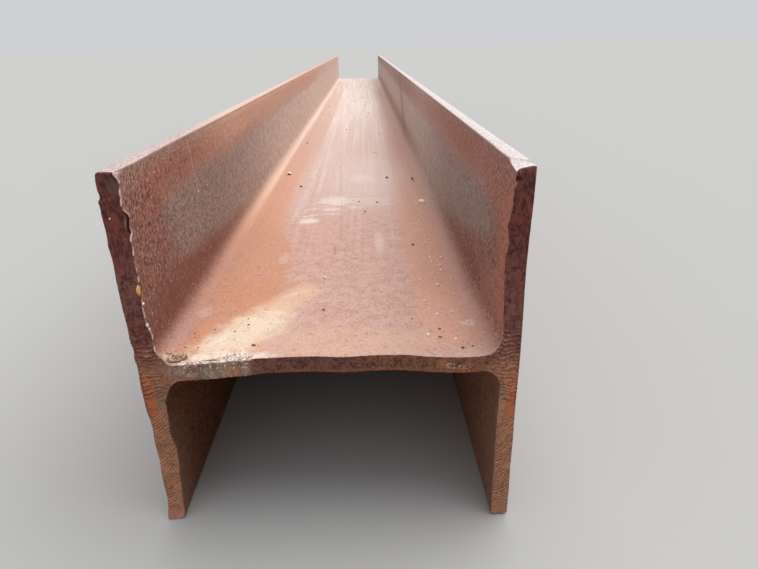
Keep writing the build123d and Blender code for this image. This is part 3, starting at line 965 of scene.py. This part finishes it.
# Grit on the web: sand and a few small stones that lie in the trough's dust, each sunk in a little.
stones = [
    ((97.5, 389), (4.4, 4.2, 2.1), 8), ((-91.5, 577), (3.2, 3.6, 2.4), 20),
    ((24, 345), (1.5, 1.3, 1.2), 70),
]
dark_stones = [
    ((-91.5, 573.5), (2.8, 1.7, 1.6), 10), ((-65, 490), (1.9, 1.5, 1.2), 30),
    ((59, 534), (2.3, 2.0, 1.6), 80),
    ((96, 523), (2.0, 1.7, 1.4), 50), ((18, 398), (1.0, 1.0, 0.8), 0), ((41, 393), (1.6, 1.0, 0.8), 20),
    ((25, 349), (1.6, 1.4, 1.1), 60), ((73, 224), (1.5, 1.2, 0.9), 35), ((-7, 78), (1.2, 0.8, 0.6), 25),
    ((-51, 25), (1.4, 0.7, 0.6), -5), ((-60, 56), (1.0, 0.5, 0.5), 10), ((-62, 66), (0.6, 0.5, 0.4), 0),
    ((-68, 46), (0.7, 0.6, 0.5), 40), ((-96, 45), (0.6, 0.5, 0.4), 0), ((-94, 39), (0.6, 0.5, 0.4), 0),
    ((-97, 25), (0.6, 0.5, 0.4), 0), ((-88, 24), (0.5, 0.5, 0.4), 0), ((-83, 50), (0.5, 0.5, 0.4), 0),
    ((76, 29), (1.5, 0.6, 0.6), -10), ((77, 41), (0.9, 0.9, 0.6), 30), ((89, 13), (1.2, 0.8, 0.7), 15),
    ((96, 15), (0.8, 0.6, 0.5), 15), ((59, 58), (0.8, 0.6, 0.5), 20),
]
sand_places = (
    (86, 187), (96, 184), (75, 167), (86, 172), (93, 166), (71, 132), (85, 119), (90, 67), (78, 64),
    (68, 32), (86, 25), (71, 88), (92, 152), (38, 110), (-10, 142), (90, 236), (99, 51), (92, 305),
)
sand = [(where, tuple(rng.uniform(0.8, 1.4, 3)), rng.uniform(0, 360)) for where in sand_places]
for _ in range(46):
    where = (rng.uniform(58, 99), rng.uniform(18, 420))
    sand.append((where, tuple(rng.uniform(0.35, 0.75, 3)), rng.uniform(0, 360)))
for _ in range(70):
    where = (rng.uniform(-98, 98), rng.uniform(450, length / mm - 40))
    group = sand if rng.uniform() < 0.7 else dark_stones
    group.append((where, tuple(rng.uniform(0.7, 1.7, 3)), rng.uniform(0, 360)))


def laid(grains):
    """The grains' centres, with each laid on the web and sunk by a fifth."""
    for (px, from_end), half_size, turn in grains:
        level = float(surface_level(px * mm)) / mm + 0.6 * min(half_size)
        yield (px, end_y + from_end, level), half_size, turn


pale_grit = slag_finish("pale grit", (0.90, 0.82, 0.72), (0.98, 0.95, 0.89), (0.98, 0.96, 0.93))
dark_grit = slag_finish("dark grit", (0.060, 0.042, 0.032), (0.15, 0.105, 0.08), (0.24, 0.18, 0.14))
make_piece("pale_stones", *lumps(laid(stones)), pale_grit)
make_piece("dark_stones", *lumps(laid(dark_stones), steps=2), dark_grit)
make_piece("sand", *lumps(laid(sand), steps=2), pale_grit)

# The studio: a plain pale floor, a soft white surround and one wide soft light overhead, and the
# camera where the photograph was taken, close to the near end and looking a little down.
floor_side = 60.0
floor_mesh = bpy.data.meshes.new("floor")
corners = [(x * floor_side, y * floor_side, 0) for x, y in ((-1, -1), (1, -1), (1, 1), (-1, 1))]
floor_mesh.from_pydata(corners, [], [(0, 1, 2, 3)])
floor = set_down("floor", floor_mesh)
floor_finish = bpy.data.materials.new("pale floor")
floor_finish.use_nodes = True
floor_shader = floor_finish.node_tree.nodes["Principled BSDF"]
floor_shader.inputs["Base Color"].default_value = (0.46, 0.46, 0.455, 1)
floor_shader.inputs["Roughness"].default_value = 1.0
floor_shader.inputs["Specular IOR Level"].default_value = 0.0
floor_mesh.materials.append(floor_finish)

world = bpy.data.worlds.new("soft surround")
world.use_nodes = True
world.node_tree.nodes["Background"].inputs["Color"].default_value = (0.95, 0.97, 1.0, 1)
world.node_tree.nodes["Background"].inputs["Strength"].default_value = 0.65
bpy.context.scene.world = world

overhead = bpy.data.lights.new("overhead", "SUN")
overhead.angle = radians(75)
overhead.energy = 2.6
overhead.color = (1.0, 0.98, 0.95)
overhead_light = set_down("overhead", overhead)
toward_light = Vector((0.35, 0.30, 1.0))
overhead_light.rotation_euler = toward_light.to_track_quat("Z", "Y").to_euler()

photo_width = 758
film_width = 36
focal_pixels = 572.0
camera_place = Vector((28.4, -1917.7, 322.0)) * mm
camera_pitch, camera_yaw, camera_roll = radians(22.90), radians(-1.044), radians(-1.197)
camera_data = bpy.data.cameras.new("camera")
camera_data.sensor_width = film_width
camera_data.lens = film_width * focal_pixels / photo_width
camera_data.clip_start = 0.01
camera = set_down("camera", camera_data)
camera.matrix_world = (
    Matrix.Translation(camera_place)
    @ Matrix.Rotation(camera_yaw, 4, "Z")
    @ Matrix.Rotation(radians(90) - camera_pitch, 4, "X")
    @ Matrix.Rotation(camera_roll, 4, "Z")
)
bpy.context.scene.camera = camera
bpy.context.scene.view_settings.view_transform = "Standard"
